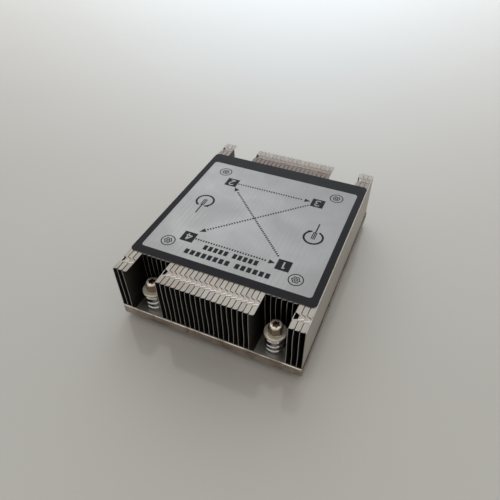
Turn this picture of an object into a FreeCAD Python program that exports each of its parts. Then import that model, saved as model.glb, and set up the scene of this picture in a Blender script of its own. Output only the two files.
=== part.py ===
import FreeCAD, Part

import math
import os
import re

import Sketcher

# Passive CPU heatsink for a rack server: a stack of folded sheet fins on a plated base plate, which four
# captive spring screws hold down on the processor.  Millimetres, +Z up.  The origin is the centre of the
# contact face under the block; X runs across the fins and Y along them, front at -Y.

sizes = {
    # fin stack
    "finCount": 37,           # folded fins, before the flat closing sheet at the right side
    "sideFins": 3,            # full fins outside the screws, at each side
    "bayFins": 6,             # short fins that leave the room for one screw at either end
    "sheetGauge": 0.3,
    "finHeight": 23.2,
    "bendRadius": 0.7,        # outside of the top fold
    "footRadius": 0.4,        # outside of the bottom fold
    "flangeCorner": 0.6,      # cut free corners of the top flange
    "seamGap": 0.05,          # from a flange's edge to the fold of the next fin
    # interlock: a tab on each flange lies in a hole in the next fin's fold
    "rowInset": 6.3,          # outer row, from the ends of the full fins
    "innerRow": 19.5,         # inner row, from the middle
    "holeRoot": 2.9,          # hole's length at the fold
    "holeTip": 1.75,
    "holeReach": 1.95,        # across the flange, from the fin's wall
    "tabGap": 0.1,
    # screw pattern and the bays in the stack round it; the pitch of the fins follows from the pattern
    "screwSpacingX": 56.0,
    "screwSpacingY": 94.0,
    "bayReach": 5.5,          # from a screw's axis back to the short fins' ends
    "endReach": 6.0,          # from a screw's axis out to the full fins' ends
    # base plate and contact block
    "plateThickness": 4.6,
    "plateLip": 0.4,          # plate beyond the stack, all round
    "plateCorner": 0.8,
    "plateBevel": 0.25,
    "blockWidth": 38.0,
    "blockDepth": 46.0,
    "blockStand": 3.2,        # how far the block stands out below the plate
    "blockInlay": 0.8,        # how far it is let into the plate
    "blockBevel": 0.5,
    # springs, as installed
    "springDiameter": 8.4,
    "springWire": 1.2,
    "springLength": 9.1,      # from the plate to the collar
    "springTurns": 3.75,
    # captive screws
    "threadDiameter": 4.0,
    "neckSink": 0.35,         # neck above the thread, in from the thread's surface
    "holePlay": 0.4,          # thread to the hole in the plate
    "tipStand": 0.6,          # screw tip above the contact plane
    "collarLap": 0.45,        # collar beyond the spring
    "collarThickness": 1.0,
    "headAcross": 5.5,
    "headHeight": 4.2,
    "headBevel": 0.35,
    "driveDiameter": 3.3,     # over the lobes
    "driveValley": 2.4,       # between the lobes
    "driveSink": 2.0,
    # retaining rings on the necks, under the plate
    "ringLap": 0.9,           # ring beyond the screw hole
    "ringThickness": 0.6,
    "ringSlot": 1.6,
    "ringPlay": 0.05,
    # label
    "labelInset": 0.3,        # from the outline of the stack's middle
    "labelThickness": 0.15,
    "labelCorner": 1.5,
}

# Lengths worked out from the driving sizes, as formulas for the sheet's own cells.
derived = {
    # each screw stands in the middle of its bay of short fins
    "finPitch": "screwSpacingX / (finCount - 2 * sideFins - bayFins)",
    "finDepth": "screwSpacingY + 2 * endReach",
    "bayFinDepth": "screwSpacingY - 2 * bayReach",
    "stackWidth": "finCount * finPitch + sheetGauge",
    "outerRow": "finDepth / 2 - rowInset",
    # where the underside of a flange meets the round of the next fold
    "foldMeet": "bendRadius - sqrt(bendRadius ^ 2 - (bendRadius - sheetGauge) ^ 2)",
    "flangeEnd": "finPitch + foldMeet - seamGap",
    "plateTop": "blockStand + plateThickness",
    "finTop": "plateTop + finHeight",
    "screwHole": "threadDiameter + 2 * holePlay",
    "collarFloor": "plateTop + springLength",
    "collarTop": "collarFloor + collarThickness",
    "headTop": "collarTop + headHeight",
    "neckDiameter": "threadDiameter - 2 * neckSink",
    "collarDiameter": "springDiameter + 2 * collarLap",
    "ringDiameter": "screwHole + 2 * ringLap",
}

# Rounds that repeat many times are drawn with a few flats.
foldRuns = 3                  # flats in the top fold of a fin
ringSides = 12
springSides = 6               # flats round the spring's wire
springStations = 12           # straight runs in one turn of the spring
driveLobes = 6
lobeSpread = 20               # degrees that the round end of one lobe takes up

doc = FreeCAD.newDocument("Heatsink")
sheet = doc.addObject("Spreadsheet::Sheet", "Sizes")


def cells(formula):
    # every size's name in the formula becomes a reference to its cell in the sheet
    known = list(sizes) + list(derived)
    return re.sub(r"[A-Za-z]\w*", lambda word: f"Sizes.{word[0]}" if word[0] in known else word[0], formula)


def fillSheet():
    row = 0
    for alias, value in sizes.items():
        row += 1
        sheet.set(f"A{row}", alias)
        sheet.set(f"B{row}", str(value))
        sheet.setAlias(f"B{row}", alias)
    for alias, formula in derived.items():
        row += 1
        sheet.set(f"A{row}", alias)
        sheet.set(f"B{row}", "=" + formula)
        sheet.setAlias(f"B{row}", alias)
    doc.recompute()


def size(alias):
    return float(sheet.get(alias))


def newBody(name, x="0", y="0", z="0"):
    body = doc.addObject("PartDesign::Body", name)
    body.Label = name
    for axis, formula in zip("xyz", (x, y, z)):
        body.setExpression(f"Placement.Base.{axis}", cells(formula))
    return body


def originPart(body, role):
    return next(item for item in body.Origin.OriginFeatures if item.Role == role)


def newSketch(body, role, lift="0"):
    # a sketch on one of the body's own planes, lifted along the plane's normal
    sketch = body.newObject("Sketcher::SketchObject", f"{body.Name}_sketch")
    sketch.AttachmentSupport = [(originPart(body, role), "")]
    sketch.MapMode = "FlatFace"
    sketch.setExpression("AttachmentOffset.Base.z", cells(lift))
    doc.recompute([sketch])
    return sketch


def value(sketch, formula):
    return float(sketch.evalExpression(cells(formula)))


def pin(sketch, item, end, x, y):
    # holds one point of the sketch at the distances x and y from the sketch's origin
    for kind, formula in (("DistanceX", x), ("DistanceY", y)):
        rule = Sketcher.Constraint(kind, -1, 1, item, end, value(sketch, formula))
        sketch.setExpression(f"Constraints[{sketch.addConstraint(rule)}]", cells(formula))


def outline(sketch, corners):
    # closed outline of straight runs through the corners
    points = [FreeCAD.Vector(value(sketch, x), value(sketch, y), 0) for x, y in corners]
    runs = [sketch.addGeometry(Part.LineSegment(points[n - 1], points[n])) for n in range(len(points))]
    for n, run in enumerate(runs):
        sketch.addConstraint(Sketcher.Constraint("Coincident", runs[n - 1], 2, run, 1))
        pin(sketch, run, 2, *corners[n])


def around(radius, angle, x="0", y="0"):
    # the point at the angle, in degrees, on the circle about (x, y)
    return f"{x} + ({radius}) * cos({angle:g})", f"{y} + ({radius}) * sin({angle:g})"


def arcCorners(x, y, radius, start, end, runs):
    return [around(radius, start + (end - start) * n / runs, x, y) for n in range(runs + 1)]


def polygon(radius, sides):
    return [around(radius, 360 / sides * n) for n in range(sides)]


def circle(sketch, x, y, diameter):
    centre = FreeCAD.Vector(value(sketch, x), value(sketch, y), 0)
    radius = value(sketch, f"({diameter}) / 2")
    item = sketch.addGeometry(Part.Circle(centre, FreeCAD.Vector(0, 0, 1), radius))
    pin(sketch, item, 3, x, y)
    rule = Sketcher.Constraint("Diameter", item, 2 * radius)
    sketch.setExpression(f"Constraints[{sketch.addConstraint(rule)}]", cells(diameter))


def rectangle(sketch, width, depth):
    outline(sketch, [(f"-({width}) / 2", f"-({depth}) / 2"), (f"({width}) / 2", f"-({depth}) / 2"),
                     (f"({width}) / 2", f"({depth}) / 2"), (f"-({width}) / 2", f"({depth}) / 2")])


def feature(body, kind, sketch, length=None, symmetric=False):
    item = body.newObject(f"PartDesign::{kind}", f"{body.Name}_{kind}")
    item.Profile = sketch
    if length:
        item.setExpression("Length", cells(length))
    if symmetric:
        item.SideType = "Symmetric"
    if kind in ("Revolution", "Groove"):
        item.ReferenceAxis = (originPart(body, "Z_Axis"), [""])
        item.Angle = 360
    body.Tip = item
    return item


def bevel(body, length, wanted):
    # bevels the edges of the body that the test picks
    base = body.Tip
    doc.recompute()
    names = [f"Edge{n}" for n, edge in enumerate(base.Shape.Edges, start=1) if wanted(edge)]
    item = body.newObject("PartDesign::Chamfer", f"{body.Name}_Chamfer")
    item.Base = (base, names)
    item.setExpression("Size", cells(length))
    body.Tip = item
    return item


def upright(edge):
    # a straight edge that runs along Z
    box = edge.BoundBox
    return box.XLength < 1e-4 and box.YLength < 1e-4


def wedge(root, tip, near, base, reach):
    # corners of an interlock hole or tab: straight up to base, then narrowing to its tip at reach
    def at(row):
        return [(near, f"{row} - ({root}) / 2"), (base, f"{row} - ({root}) / 2"),
                (reach, f"{row} - ({tip}) / 2"), (reach, f"{row} + ({tip}) / 2"),
                (base, f"{row} + ({root}) / 2"), (near, f"{row} + ({root}) / 2")]
    return at


holeAt = wedge("holeRoot", "holeTip", "-sheetGauge", "0", "holeReach")
tabAt = wedge("holeRoot - 2 * tabGap", "holeTip - 2 * tabGap",
              "finPitch - sheetGauge", "finPitch", "finPitch + holeReach - tabGap")
lastTabAt = wedge("holeRoot - 2 * tabGap", "holeRoot - 2 * tabGap",
                  "finPitch - sheetGauge", "finPitch", "finPitch + sheetGauge")


def makeFin(number, depth, holeRows, tabRows, last):
    # one strip of sheet folded to a C: wall at the left, foot flange below, top flange above
    fin = newBody(f"fin_{number:02d}", f"{number - 1} * finPitch - stackWidth / 2", "0", "plateTop")
    edge = "finPitch - seamGap" if last else "flangeEnd"
    foot = "finPitch - seamGap"
    section = newSketch(fin, "XZ_Plane")
    outline(section, [
        (foot, "0"), (foot, "sheetGauge"), ("sheetGauge", "sheetGauge"),
        ("sheetGauge", "finHeight - bendRadius"), ("bendRadius", "finHeight - sheetGauge"),
        (edge, "finHeight - sheetGauge"), (edge, "finHeight"),
        *arcCorners("bendRadius", "finHeight - bendRadius", "bendRadius", 90, 180, foldRuns),
        *arcCorners("footRadius", "footRadius", "footRadius", 180, 270, 2),
    ])
    feature(fin, "Pad", section, depth, symmetric=True)
    bevel(fin, "flangeCorner", lambda e: upright(e) and e.BoundBox.ZMin > size("finHeight") / 2)
    tabs = newSketch(fin, "XY_Plane", "finHeight - sheetGauge")
    for row in tabRows:
        outline(tabs, (lastTabAt if last else tabAt)(row))
    holes = newSketch(fin, "XY_Plane", "finHeight")
    for row in holeRows:
        outline(holes, holeAt(row))
    locks = [feature(fin, "Pad", tabs, "sheetGauge"), feature(fin, "Pocket", holes, "bendRadius")]
    mirrorLocks(fin, locks)
    return fin


def mirrorLocks(fin, locks):
    # the interlock rows of the front half, repeated in the back half
    both = fin.newObject("PartDesign::Mirrored", f"{fin.Name}_Mirrored")
    both.Originals = locks
    both.MirrorPlane = (originPart(fin, "XZ_Plane"), [""])
    fin.Tip = both


def makeClosingSheet(number):
    # flat sheet at the right side; the last fin's tabs lie in notches in its top edge
    fin = newBody(f"fin_{number:02d}", "stackWidth / 2 - sheetGauge", "0", "plateTop")
    section = newSketch(fin, "XZ_Plane")
    outline(section, [("0", "0"), ("sheetGauge", "0"), ("sheetGauge", "finHeight"), ("0", "finHeight")])
    feature(fin, "Pad", section, "finDepth", symmetric=True)
    notches = newSketch(fin, "XY_Plane", "finHeight")
    for row in ("outerRow", "innerRow"):
        outline(notches, [(x, f"{row} {side} holeRoot / 2") for x, side in
                          (("-sheetGauge", "-"), ("2 * sheetGauge", "-"), ("2 * sheetGauge", "+"),
                           ("-sheetGauge", "+"))])
    mirrorLocks(fin, [feature(fin, "Pocket", notches, "sheetGauge + tabGap")])
    return fin


def makeFins():
    count = round(size("finCount"))

    def inBay(number):
        fromSide = min(number, count + 1 - number)
        return size("sideFins") < fromSide <= size("sideFins") + size("bayFins")

    fins = []
    for number in range(1, count + 1):
        full = not inBay(number)
        last = number == count
        nextFull = last or not inBay(number + 1)
        depth = "finDepth" if full else "bayFinDepth"
        holeRows = ["outerRow", "innerRow"] if full else ["innerRow"]
        tabRows = ["outerRow", "innerRow"] if full and nextFull else ["innerRow"]
        fins.append(makeFin(number, depth, holeRows, tabRows, last))
    fins.append(makeClosingSheet(count + 1))
    return fins


def screwPlaces():
    # the four screws as (name, x, y)
    return [(f"{end}_{side}", f"{signX} * screwSpacingX / 2", f"{signY} * screwSpacingY / 2")
            for end, signY in (("front", -1), ("back", 1)) for side, signX in (("left", -1), ("right", 1))]


def makeBasePlate():
    plate = newBody("base_plate", z="blockStand")
    blank = newSketch(plate, "XY_Plane")
    rectangle(blank, "stackWidth + 2 * plateLip", "finDepth + 2 * plateLip")
    feature(plate, "Pad", blank, "plateThickness")
    bevel(plate, "plateCorner", upright)
    bevel(plate, "plateBevel", lambda e: e.BoundBox.ZMin > size("plateThickness") / 2)
    holes = newSketch(plate, "XY_Plane", "plateThickness")
    for _, x, y in screwPlaces():
        circle(holes, x, y, "screwHole")
    feature(plate, "Pocket", holes, "plateThickness")
    inlay = newSketch(plate, "XY_Plane", "0")
    rectangle(inlay, "blockWidth", "blockDepth")
    feature(plate, "Pocket", inlay, "blockInlay").Reversed = True
    return plate


def makeContactBlock():
    # machined block that is let into the plate's underside and stands on the processor's lid
    block = newBody("contact_block")
    blank = newSketch(block, "XY_Plane")
    rectangle(blank, "blockWidth", "blockDepth")
    feature(block, "Pad", blank, "blockStand + blockInlay")
    bevel(block, "blockBevel", lambda e: e.BoundBox.ZMax < 1e-4)
    return block


def makeScrew(name, x, y):
    # captive screw: thread, thinner neck, collar over the spring, hexagon head with a lobed drive
    screw = newBody(f"screw_{name}", x, y)
    profile = newSketch(screw, "XZ_Plane")
    outline(profile, [
        ("0", "tipStand"), ("threadDiameter / 2", "tipStand"),
        ("threadDiameter / 2", "blockStand - ringThickness"),
        ("neckDiameter / 2", "blockStand - ringThickness"),
        ("neckDiameter / 2", "collarFloor"), ("collarDiameter / 2", "collarFloor"),
        ("collarDiameter / 2", "collarTop"), ("0", "collarTop"),
    ])
    feature(screw, "Revolution", profile)
    head = newSketch(screw, "XY_Plane", "collarTop")
    outline(head, polygon("headAcross / sqrt(3)", 6))
    feature(screw, "Pad", head, "headHeight")
    bevel(screw, "headBevel", lambda e: e.BoundBox.ZMin > size("headTop") - 1e-4)
    drive = newSketch(screw, "XY_Plane", "headTop")
    step = 360 / driveLobes
    outline(drive, [around(radius, step * lobe + turn) for lobe in range(driveLobes) for radius, turn in (
        ("driveDiameter / 2", -lobeSpread / 2), ("driveDiameter / 2", lobeSpread / 2),
        ("driveValley / 2", step / 2))])
    feature(screw, "Pocket", drive, "driveSink")
    return screw


def makeRing(name, x, y):
    # open retaining ring, snapped on the screw's neck between its thread and the plate's underside
    ring = newBody(f"ring_{name}", x, y, "blockStand - ringThickness")
    disc = newSketch(ring, "XY_Plane")
    for radius in ("ringDiameter / 2", f"(neckDiameter / 2 + ringPlay) / cos({180 / ringSides})"):
        outline(disc, polygon(radius, ringSides))
    feature(ring, "Pad", disc, "ringThickness")
    slot = newSketch(ring, "XY_Plane", "ringThickness")
    outline(slot, [("0", "-ringSlot / 2"), ("ringDiameter", "-ringSlot / 2"),
                   ("ringDiameter", "ringSlot / 2"), ("0", "ringSlot / 2")])
    feature(ring, "Pocket", slot, "ringThickness")
    return ring


def springHeight(turn, wire, length, turns):
    # closed coils at both ends, lying wire on wire, and an even pitch between them
    rise = length - 3 * wire
    return wire / 2 + wire * min(turn, 1) + rise * min(max((turn - 1) / (turns - 2), 0), 1) \
        + wire * max(turn - turns + 1, 0)


def makeSpring(name, x, y):
    # round wire wound to a helix, here with flat-sided wire in straight runs
    wire, length, turns = size("springWire"), size("springLength"), size("springTurns")
    radius = (size("springDiameter") - wire) / 2
    runs = round(turns * springStations)
    path = []
    for station in range(runs + 1):
        turn = turns * station / runs
        angle = 2 * math.pi * turn
        path.append(FreeCAD.Vector(radius * math.cos(angle), radius * math.sin(angle),
                                   springHeight(turn, wire, length, turns)))
    spine = Part.makePolygon(path)
    ahead = path[1] - path[0]
    section = Part.makePolygon([
        path[0] + FreeCAD.Vector(math.cos(a), 0, math.sin(a)) * (wire / 2)
        for a in (2 * math.pi * n / springSides for n in range(springSides + 1))])
    pipe = Part.BRepOffsetAPI.MakePipeShell(spine)
    pipe.setTransitionMode(1)
    pipe.add(section)
    pipe.build()
    pipe.makeSolid()
    spring = doc.addObject("Part::Feature", f"spring_{name}")
    spring.Label = spring.Name
    spring.Shape = pipe.shape()
    for axis, formula in zip("xyz", (x, y, "plateTop")):
        spring.setExpression(f"Placement.Base.{axis}", cells(formula))
    return spring


def makeLabel():
    label = newBody("top_label", z="finTop")
    blank = newSketch(label, "XY_Plane")
    rectangle(blank, "stackWidth - 2 * labelInset", "bayFinDepth - 2 * labelInset")
    feature(label, "Pad", blank, "labelThickness")
    bevel(label, "labelCorner", upright)
    return label


def main():
    fillSheet()
    pieces = makeFins()
    pieces += [makeBasePlate(), makeContactBlock(), makeLabel()]
    for place in screwPlaces():
        pieces += [makeScrew(*place), makeRing(*place), makeSpring(*place)]
    doc.recompute()
    for item in doc.Objects:
        if "Invalid" in item.State or "Error" in item.State:
            raise RuntimeError(f"{item.Name}: {item.State}")
    os.makedirs("parts", exist_ok=True)
    for piece in pieces:
        shape = piece.Shape
        if shape.isNull() or not shape.isValid() or len(shape.Solids) != 1:
            raise RuntimeError(f"{piece.Label}: shape is not one valid solid")
        shape.exportStep(f"parts/{piece.Label}.step")
    print(len(pieces), "pieces written")


main()
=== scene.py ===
import math

import bmesh
import bpy
import numpy as np
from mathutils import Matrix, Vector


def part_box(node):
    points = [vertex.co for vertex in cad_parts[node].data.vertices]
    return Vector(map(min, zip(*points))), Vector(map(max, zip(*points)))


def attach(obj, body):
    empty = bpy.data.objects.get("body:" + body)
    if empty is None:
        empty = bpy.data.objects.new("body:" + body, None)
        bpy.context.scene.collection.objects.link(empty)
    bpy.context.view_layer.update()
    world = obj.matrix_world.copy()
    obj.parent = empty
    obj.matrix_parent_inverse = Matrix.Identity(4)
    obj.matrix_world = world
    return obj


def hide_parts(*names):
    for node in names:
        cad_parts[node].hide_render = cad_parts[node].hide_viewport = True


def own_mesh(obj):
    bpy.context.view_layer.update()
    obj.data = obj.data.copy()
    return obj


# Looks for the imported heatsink.  Shapes are worked out in millimetres from the CAD nodes' boxes, and
# become metres when they are put into a mesh.  X runs across the fins, Y along them, +Z up.

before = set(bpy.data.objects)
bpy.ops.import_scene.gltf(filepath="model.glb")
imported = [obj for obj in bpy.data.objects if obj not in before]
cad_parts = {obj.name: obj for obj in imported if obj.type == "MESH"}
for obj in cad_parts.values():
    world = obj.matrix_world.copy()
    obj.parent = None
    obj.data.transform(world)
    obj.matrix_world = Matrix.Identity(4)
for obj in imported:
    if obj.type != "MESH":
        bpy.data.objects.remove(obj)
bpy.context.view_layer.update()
mm = 0.001
weldDistance = 1e-7   # metres; points that meet within it become one
screwNames = ["front_left", "front_right", "back_left", "back_right"]
print("frame loaded:", len(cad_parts), "nodes")


def boxOf(node):
    low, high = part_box(node)
    return np.array(low) / mm, np.array(high) / mm


def gridFaces(rows, columns, closed=False):
    # four-sided faces between neighbouring rows and columns; closed joins the last column to the first.
    # They face along (step to the next column) x (step to the next row).
    last = columns if closed else columns - 1
    row, column = np.meshgrid(np.arange(rows - 1), np.arange(last), indexing="ij")
    beside = (column + 1) % columns
    return np.stack([row * columns + column, row * columns + beside,
                     (row + 1) * columns + beside, (row + 1) * columns + column], axis=-1)


def newPiece(name, points, faces, materials, body="heatsink", stands=(), gauge=0, crease=35,
             second=None):
    # points (n, 3) in millimetres and faces (m, 4); points that no face uses are left out, and points that
    # meet are merged.  A gauge thickens a sheet inwards from its outer face and gives its rim the last
    # material, and second marks the faces that have the second one.
    used, corners = np.unique(faces, return_inverse=True)
    mesh = bpy.data.meshes.new(name)
    mesh.from_pydata((points[used] * mm).tolist(), [], corners.reshape(-1, 4).tolist())
    if second is not None:
        mesh.polygons.foreach_set("material_index", second.astype(np.int32))
    work = bmesh.new()
    work.from_mesh(mesh)
    bmesh.ops.remove_doubles(work, verts=work.verts, dist=weldDistance)
    work.to_mesh(mesh)
    work.free()
    for material in materials:
        mesh.materials.append(material)
    piece = bpy.data.objects.new(name, mesh)
    bpy.context.scene.collection.objects.link(piece)
    if gauge:
        sheet = piece.modifiers.new("gauge", "SOLIDIFY")
        sheet.thickness = gauge * mm
        sheet.material_offset_rim = len(materials) - 1
        graph = bpy.context.evaluated_depsgraph_get()
        solid = bpy.data.meshes.new_from_object(piece.evaluated_get(graph))
        piece.modifiers.clear()
        piece.data = solid
    piece.data.shade_smooth()
    piece.data.set_sharp_from_angle(angle=math.radians(crease))
    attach(piece, body)
    if stands:
        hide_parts(*stands)
    return piece


def linear(hexColour):
    # sRGB hex to linear, by the standard's own curve
    parts = np.array([int(hexColour[n:n + 2], 16) for n in (1, 3, 5)]) / 255
    return (*np.where(parts <= 0.04045, parts / 12.92, ((parts + 0.055) / 1.055) ** 2.4).tolist(), 1)


def fill(tree, node, inputs):
    # fills each input of the node with a value or a link
    for key, value in inputs.items():
        if isinstance(value, bpy.types.NodeSocket):
            tree.links.new(value, node.inputs[key])
        else:
            node.inputs[key].default_value = value


def addNode(tree, kind, inputs, out=0, **settings):
    # adds one node with its settings and links, and gives back the output that is asked for
    node = tree.nodes.new("ShaderNode" + kind)
    for key, value in settings.items():
        setattr(node, key, value)
    fill(tree, node, inputs)
    return node.outputs[out]


def newMaterial(name, fixed):
    # material with one Principled shader and its fixed values, with its tree, shader and object coordinates
    material = bpy.data.materials.new(name)
    material.use_nodes = True
    tree = material.node_tree
    shader = tree.nodes["Principled BSDF"]
    fill(tree, shader, fixed)
    return material, tree, shader, addNode(tree, "TexCoord", {}, "Object")


def perMetre(size):
    # texture scale at which one feature measures so many millimetres
    return 1 / (size * mm)


def layColours(tree, look, base, layers):
    # the base colour lies lowest, and each layer's own colour covers what is under it by the product of its
    # shares
    colour = linear(look[base])
    for name, shares in layers.items():
        share = shares[0]
        for other in shares[1:]:
            share = addNode(tree, "Math", {0: share, 1: other}, operation="MULTIPLY")
        colour = addNode(tree, "Mix", {0: share, 6: colour, 7: linear(look[name])}, 2, data_type="RGBA")
    return colour


def finishSurface(tree, shader, look, colour, wear, height, worn=(0.3, 0.7)):
    # the roughness goes between the look's two values with the wear, and the height gives a relief
    rough = addNode(tree, "MapRange", {"Value": wear, "From Min": worn[0], "From Max": worn[1],
                                       "To Min": look["roughness"][0], "To Max": look["roughness"][1]})
    relief = addNode(tree, "Bump", {"Height": height, "Distance": look["relief"] * mm})
    fill(tree, shader, {"Base Color": colour, "Roughness": rough, "Normal": relief})


def grainedMetal(name, look, metallic=1.0, detail=3.0, spread=(0, 1)):
    # metal whose tone, gloss and relief all follow one grain; its tone changes within the spread
    material, tree, shader, place = newMaterial(name, {"Metallic": metallic})
    grain = addNode(tree, "TexNoise", {"Vector": place, "Scale": perMetre(look["grain"]), "Detail": detail})
    share = addNode(tree, "MapRange", {"Value": grain, "From Min": spread[0], "From Max": spread[1]})
    colour = layColours(tree, look, "light", {"dark": [share]})
    finishSurface(tree, shader, look, colour, grain, grain)
    return material


finLow, finHigh = boxOf("fin_01")
lastLow, lastHigh = boxOf("fin_38")
plateHigh = boxOf("base_plate")[1]
fin = {
    "count": 37,
    "pitch": boxOf("fin_02")[0][0] - finLow[0],
    "height": finHigh[2] - finLow[2],
    "gauge": lastHigh[0] - lastLow[0],
    "sheet": 0.21,           # thickness of the sheet as drawn
    "topFold": 0.8,          # outside radii of the folds
    "outerFold": 1.3,        # of the first fin's top fold
    "footFold": 0.4,
    "foldMargin": 0.08,      # first station past the top fold
    "corner": 0.8,           # round at the flange's free corners
    "cornerShare": 0.35,
    "seam": 0.05,
    "overlap": 0.08,         # flange beyond the pitch, into the round of the next fold
    "rows": (47.0, 19.5),    # interlock rows, from the middle
    "rowMargin": 10,         # the outer rows lie within this of a fin's end
    "holeRoot": 3.8,         # width of a hole at the fold, its width at the tip, and how far in the tip is
    "holeTip": 2.0,
    "holeReach": 2.08,
    "nearPlay": 0.16,        # tab to hole, at the tab's near side, far side and tip
    "farPlay": 0.2,
    "tipPlay": 0.04,
    "lip": 0.1,              # how far the tab's near edge stands above the flange
    "lipWidth": 0.6,
    "droop": 0.17,           # how far the tab's far edge lies below the flange
    "bend": 0.07,            # how far a wall wanders from its plane
    "endBend": 0.22,         # the same at its free ends
    "endReach": 5,           # how far in from an end that stronger bend goes
    "drift": (0.65, 0.35),   # mean and swing of the bend along the fin
    "driftLength": 17,       # over so much of its length for one radian
    "outerBend": 0.2,        # the first fin's share of the bend
    "backDroop": 0.35,       # the droop's share at the back rows
    "sag": 0.035,            # how far a flange may lie below the stack's top
    "step": 5,               # longest step along a fin
    "bulge": 0.12,           # how far the closing sheet stands in at half its height
    "bulgeLength": 13,
}
left, stackTop = finLow[0], finHigh[2]
edgeMargin = 1e-6        # keeps a point that lies on an edge on its own side of it
faceMargin = 0.01        # the same for the middle of a face


def stampedAluminium():
    # cold-rolled aluminium sheet, stamped and folded: pale warm grey and satin, each fin a little different
    # in tone, with faint rolling streaks and brown stains along the interlock rows and at the back; its outer
    # sides are painted lighter as painted light, and painted shade darkens the walls inside and the fins'
    # foot
    look = {
        "light": "#a8a39a", "dark": "#95908a", "rolled": "#b1aca4", "row": "#93817a", "stain": "#8d7d70",
        # on the next line: outer is painted light on the stack's outer sides, the next colour is painted
        # shade on the walls inside, and the last is painted shade at the fins' foot
        "back": "#6b5f58", "outer": "#cbc7c0", "innerShade": "#302e2c", "paintedShade": "#3d322c",
        "grain": 0.25, "grainLength": 9, "stainSize": 11, "roughness": (0.42, 0.54), "relief": 0.008,
        "rolledShare": 0.5, "stainShare": 0.55, "outerLightShare": 0.55, "innerShadeShare": 0.85,
        "topBand": (0.8, 0.4),        # below the top, between these depths, the top's own stains come in
        "rowBand": (0.7, 2.0),        # away from a row, its tint goes out
        "rowShare": 0.42,
        "backBand": (38, 40),         # along the fin, the stain behind the label comes in
        "backFade": (50, 45),         # from the back edge inwards, it grows to its full share
        "backShare": (0.4, 0.95),
        "combBand": (25, 23),         # across the stack, the middle comb has more of it
        "combShare": 0.65,            # the other combs' share
        "sideBand": (0.25, 0.15),     # in from the stack's sides, the outer faces begin
        "innerShadeBand": (0.4, 0.75),      # below the top, the painted shade on the walls comes in
        "innerShadeFrom": 43,               # along the fin, the painted shade lightens from here to the end
        "innerShadeEnd": 0.72,
        "footBand": (0.7, 0.3),       # above the foot, the painted shade comes in
        "footShare": (0.6, 0.95),
    }
    material, tree, shader, place = newMaterial("rolledAluminiumStamped", {"Metallic": 1.0})
    x = addNode(tree, "SeparateXYZ", {0: place}, "X")
    y = addNode(tree, "SeparateXYZ", {0: place}, "Y")
    z = addNode(tree, "SeparateXYZ", {0: place}, "Z")

    # tone of each fin, by its number
    number = addNode(tree, "MapRange", {"Value": x, "From Min": left * mm,
                                        "From Max": (left + fin["pitch"]) * mm}, clamp=False)
    number = addNode(tree, "Math", {0: number}, operation="FLOOR")
    tone = addNode(tree, "TexWhiteNoise", {"W": number}, noise_dimensions="1D")
    layers = {"dark": [tone]}

    # rolling streaks along Y
    drawn = addNode(tree, "Mapping", {"Vector": place, "Scale": (1, look["grain"] / look["grainLength"], 1)})
    rolled = addNode(tree, "TexNoise", {"Vector": drawn, "Scale": perMetre(look["grain"]), "Detail": 3.0})
    layers["rolled"] = [addNode(tree, "MapRange", {"Value": rolled, "From Min": 0.35, "From Max": 0.7,
                                                   "To Max": look["rolledShare"]})]

    # tint along the outer interlock rows, on top only
    far, near = look["topBand"]
    onTop = addNode(tree, "MapRange", {"Value": z, "From Min": (stackTop - far) * mm,
                                       "From Max": (stackTop - near) * mm})
    along = addNode(tree, "Math", {0: y}, operation="ABSOLUTE")
    away = addNode(tree, "Math", {0: along, 1: fin["rows"][0] * mm}, operation="SUBTRACT")
    away = addNode(tree, "Math", {0: away}, operation="ABSOLUTE")
    near, far = look["rowBand"]
    share = addNode(tree, "MapRange", {"Value": away, "From Min": near * mm, "From Max": far * mm,
                                       "To Min": look["rowShare"], "To Max": 0.0})
    layers["row"] = [share, onTop]

    # stains in patches, and behind the label, most on the middle comb, where they fade to the back edge
    patches = addNode(tree, "TexNoise", {"Vector": place, "Scale": perMetre(look["stainSize"]),
                                         "Detail": 5.0, "Distortion": 0.6})
    layers["stain"] = [addNode(tree, "MapRange", {"Value": patches, "From Min": 0.52, "From Max": 0.75,
                                                  "To Max": look["stainShare"]})]
    near, far = look["backBand"]
    behind = addNode(tree, "MapRange", {"Value": y, "From Min": near * mm, "From Max": far * mm})
    near, far = look["backFade"]
    fading = addNode(tree, "MapRange", {"Value": y, "From Min": near * mm, "From Max": far * mm,
                                        "To Min": look["backShare"][0], "To Max": look["backShare"][1]})
    side = addNode(tree, "Math", {0: x}, operation="ABSOLUTE")
    far, near = look["combBand"]
    comb = addNode(tree, "MapRange", {"Value": side, "From Min": far * mm, "From Max": near * mm,
                                      "To Min": look["combShare"]})
    layers["back"] = [behind, fading, comb, onTop]

    # painted light: the outer sides are painted a little lighter
    inner, outer = ((-left - depth) * mm for depth in look["sideBand"])
    layers["outer"] = [addNode(tree, "MapRange", {"Value": side, "From Min": inner, "From Max": outer,
                                                  "To Max": look["outerLightShare"]})]

    # painted shade: the walls inside the stack are painted dark below the flanges, less so towards their free
    # ends
    inside = addNode(tree, "MapRange", {"Value": side, "From Min": outer, "From Max": inner})
    near, far = look["innerShadeBand"]
    below = addNode(tree, "MapRange", {"Value": z, "From Min": (stackTop - near) * mm,
                                       "From Max": (stackTop - far) * mm, "To Max": look["innerShadeShare"]})
    deep = addNode(tree, "MapRange", {"Value": along, "From Min": look["innerShadeFrom"] * mm,
                                      "From Max": finHigh[1] * mm, "To Min": 1.0, "To Max": look["innerShadeEnd"]})
    layers["innerShade"] = [inside, below, deep]

    # painted shade along the foot of the fins, in patches, where they meet the plate
    far, near = look["footBand"]
    foot = addNode(tree, "MapRange", {"Value": z, "From Min": (finLow[2] + far) * mm,
                                      "From Max": (finLow[2] + near) * mm})
    uneven = addNode(tree, "MapRange", {"Value": patches, "From Min": 0.4, "From Max": 0.55,
                                        "To Min": look["footShare"][0], "To Max": look["footShare"][1]})
    layers["paintedShade"] = [foot, uneven]
    colour = layColours(tree, look, "light", layers)
    finishSurface(tree, shader, look, colour, rolled, rolled)
    return material


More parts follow.
